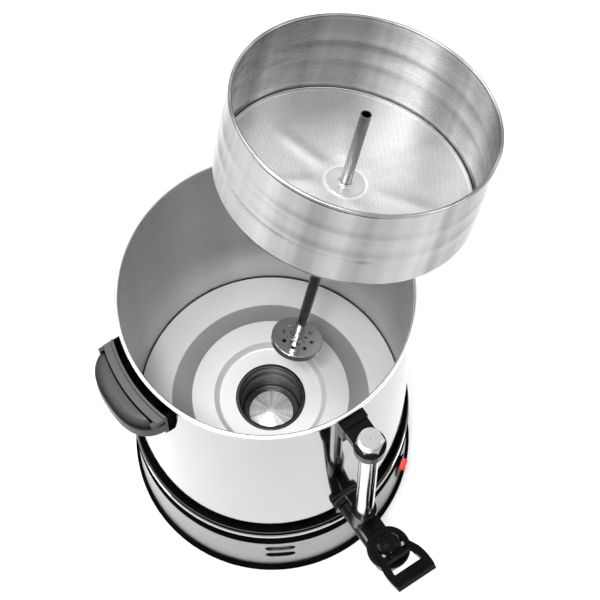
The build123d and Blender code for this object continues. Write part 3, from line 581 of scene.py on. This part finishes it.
def build_pot():
    """The pot's wall with its rolled rim, and the dark line where it meets the floor pan."""
    inner = POT_R - POT_T
    wall = [(POT_R, z) for z in OUTER_FACE_Z]
    wall += rolled_edge(POT_R - RIM_BEAD_IN, RIM_Z, RIM_BEAD_R, 120, -226)
    wall += [(inner, z) for z in INNER_FACE_Z]
    mesh = spin(wall, POT_SEGMENTS)
    shell = finish_mesh("pot_shell", mesh, LOOKS["polished_steel"], "urn", ["pot_wall"])
    shell.data.materials.append(POT_INSIDE)
    shell.data.materials.append(RIM_HIGHLIGHT_STEEL)
    # the inside faces take the painted-shade look, the faces above the rim mark the painted-highlight look
    for face in shell.data.polygons:
        if face.center.z > RIM_LOOK_FROM * MM:
            face.material_index = 2
        elif math.hypot(face.center.x, face.center.y) < (inner + 0.05) * MM:
            face.material_index = 1
    seam = flat_ring(inner - 1.3, inner - 0.05, *FLOOR_SEAM_Z)
    finish_mesh("floor_seam", spin(seam, POT_SEGMENTS), LOOKS["black_rubber"], "urn")


# ---------------------------------------------------------------- basket of the brewing set
BASKET_SEGMENTS = 224
BASKET_LEVELS = (0.0, 0.6, 1.6, 3.0, *range(5, 86, 2))  # heights of the wall's points above the floor


def ridge_push(height):
    """How far the basket's pressed ridges stand out at a height above its floor."""
    return sum(RIDGE_DEPTH * math.exp(-(((height - ridge) / RIDGE_SPREAD) ** 2)) for ridge in RIDGES)


def build_basket():
    """The basket's wall with its ridges, rolled rim and drawn-in foot, and the dark line round its floor."""
    low, top = BASKET_FLOOR, BASKET_FLOOR + BASKET_H
    outer, inner = BASKET_WALL_R, BASKET_WALL_R - BASKET_T
    outside, inside = [], []
    for height in BASKET_LEVELS:
        tuck = BASKET_TUCK * max(0.0, 1 - height / TUCK_HEIGHT) ** 2
        outside.append((outer - tuck + ridge_push(height), low + height))
        inside.append((inner - tuck + ridge_push(height), low + max(height, BASKET_T)))
    bead = rolled_edge(outer - BASKET_BEAD_IN, top - BASKET_BEAD_R, BASKET_BEAD_R, 150, -151)
    mesh = spin([*outside, *bead, *reversed(inside)], BASKET_SEGMENTS)
    finish_mesh("basket_shell", mesh, BASKET_STEEL, "basket", ["basket_wall"], SET_PLACE)
    seam_r, seam_z = inner - 0.9, low + BASKET_T
    mesh = spin(flat_ring(seam_r - 1.1, seam_r, seam_z, seam_z + 0.5), BASKET_SEGMENTS)
    finish_mesh("basket_seam", mesh, LOOKS["black_rubber"], "basket", place=SET_PLACE)


RAYS = 7
RAY_DEPTH = 1.1
RAY_SPREAD = 9.0
SWAY_DEPTH = 0.30
FLOOR_SEGMENTS = 252
FLOOR_RADII = (6.6, 12.0, 17.9, 19.0, 20.5, *[20.5 + 2.5 * k for k in range(1, 37)], 113.0, 116.8)


def floor_dent(radius, turn):
    """Height of the pressed rays round the basket floor's hub, and the slight waves of its thin sheet."""
    from_hub = min(1.0, max(0.0, (radius - 20.0) / 12.0))
    from_wall = min(1.0, max(0.0, (112.0 - radius) / 45.0))
    share = (turn * RAYS / (2 * math.pi)) % 1.0
    ray = math.exp(-(((share - 0.5) * radius / RAY_SPREAD) ** 2))
    sway = math.sin(3 * turn + 0.6) * math.sin(radius / 24.0)
    return from_hub * from_wall * (RAY_DEPTH * ray + SWAY_DEPTH * sway)


def build_basket_floor():
    """The basket's perforated floor, a pressed sheet with an upper and a lower face."""
    bm = bmesh.new()
    turns = [2 * math.pi * k / FLOOR_SEGMENTS for k in range(FLOOR_SEGMENTS)]
    sheets = []
    for side in (0.0, -BASKET_T):
        sheets.append([
            [turned_point(bm, radius, turn, BASKET_FLOOR + floor_dent(radius, turn) + side) for turn in turns]
            for radius in FLOOR_RADII
        ])
    following = [(k, (k + 1) % FLOOR_SEGMENTS) for k in range(FLOOR_SEGMENTS)]
    for rings in sheets:
        for here, there in zip(rings, rings[1:]):
            for k, after in following:
                bm.faces.new((here[k], there[k], there[after], here[after]))
    for edge in (0, -1):
        upper, lower = sheets[0][edge], sheets[1][edge]
        for k, after in following:
            bm.faces.new((upper[k], upper[after], lower[after], lower[k]))
    mesh = to_mesh(bm, "pressed_floor")
    finish_mesh("basket_sieve", mesh, MESH_STEEL, "basket", ["basket_floor"], SET_PLACE)


def build_spring():
    """The tap's return spring, which the rising stem shortens while its upper end stays in place; here it is
    a still copy of the CAD spring's mesh.
    """
    mesh = NODES["tap_spring"].data.copy()
    mesh.materials.clear()
    spring = finish_mesh("return_spring", mesh, LOOKS["bright_steel"], "urn", ["tap_spring"])
    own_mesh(spring)


# ---------------------------------------------------------------- finishes of the CAD pieces that stay
def dress_cad():
    """Gives each CAD piece its own look, or else its slot's."""
    slots = {part["node"]: part["material_slot"] for part in frame["record"]["subparts"]}
    for node, obj in NODES.items():
        obj.data.materials.clear()
        obj.data.materials.append(OWN_LOOKS.get(node, LOOKS[slots[node]]))


# ---------------------------------------------------------------- stage, light and camera, in metres, watts
FLOOR_HALF = 6.0
AIM = (0.0, 0.0, 0.3)
SOFTBOXES = (  # name, place, width and height, power
    ("overhead_softbox", (-0.5, 0.1, 2.6), (1.3, 1.3), 32),
    ("back_softbox", (0.5, 1.3, 2.0), (1.2, 0.8), 12),
    ("left_softbox", (-2.0, 0.6, 1.6), (0.6, 1.6), 12),
    ("right_softbox", (1.9, -1.3, 1.7), (0.6, 1.4), 18),
)
SNOOT_AT = (-0.42, -0.42, 2.2)
SNOOT_AIM = (-0.045, -0.02, 0.15)
SNOOT_POWER = 115
SNOOT_CONE = 9.5
SNOOT_BLEND = 0.25
SNOOT_RADIUS = 0.12
SKY_STRENGTH = 0.98
CAMERA_AT = (-0.36526, -0.60789, 2.35767)
CAMERA_TURN = (20.15, 0.156, -33.886)
CAMERA_LENS = 137.98
CAMERA_SENSOR = 36.0


def build_stage():
    """The pale floor under the urn."""
    half = FLOOR_HALF
    corners = [(-half, -half, 0), (half, -half, 0), (half, half, 0), (-half, half, 0)]
    mesh = bpy.data.meshes.new("sweep_floor")
    mesh.from_pydata(corners, [], [(0, 1, 2, 3)])
    mesh.materials.append(floor_paper("floor_paper"))
    floor = bpy.data.objects.new("sweep_floor", mesh)
    bpy.context.scene.collection.objects.link(floor)


def hang(light, place, target):
    """Puts a light at a place and turns it to its target."""
    lamp = bpy.data.objects.new(light.name, light)
    bpy.context.scene.collection.objects.link(lamp)
    lamp.location = place
    lamp.rotation_euler = (Vector(target) - Vector(place)).to_track_quat("-Z", "Y").to_euler()


def build_light():
    """Softboxes round the urn, a narrow beam into the pot, and a white surround."""
    for name, place, size, power in SOFTBOXES:
        light = bpy.data.lights.new(name, "AREA")
        light.shape = "RECTANGLE"
        light.size, light.size_y = size
        light.energy = power
        hang(light, place, AIM)
    snoot = bpy.data.lights.new("pot_snoot", "SPOT")
    snoot.energy = SNOOT_POWER
    snoot.spot_size = math.radians(SNOOT_CONE)
    snoot.spot_blend = SNOOT_BLEND
    snoot.shadow_soft_size = SNOOT_RADIUS
    hang(snoot, SNOOT_AT, SNOOT_AIM)
    world = bpy.data.worlds.new("studio")
    world.use_nodes = True
    background = world.node_tree.nodes["Background"]
    background.inputs["Color"].default_value = grey(1.0)
    background.inputs["Strength"].default_value = SKY_STRENGTH
    bpy.context.scene.world = world
    bpy.context.scene.view_settings.view_transform = "Standard"


def build_camera():
    """The camera, above the front left of the urn."""
    data = bpy.data.cameras.new("camera")
    data.lens = CAMERA_LENS
    data.sensor_width = CAMERA_SENSOR
    camera = bpy.data.objects.new("camera", data)
    camera.location = CAMERA_AT
    camera.rotation_euler = [math.radians(a) for a in CAMERA_TURN]
    bpy.context.scene.collection.objects.link(camera)
    bpy.context.scene.camera = camera


build_pot()
build_basket()
build_basket_floor()
build_spring()
dress_cad()
build_stage()
build_light()
build_camera()
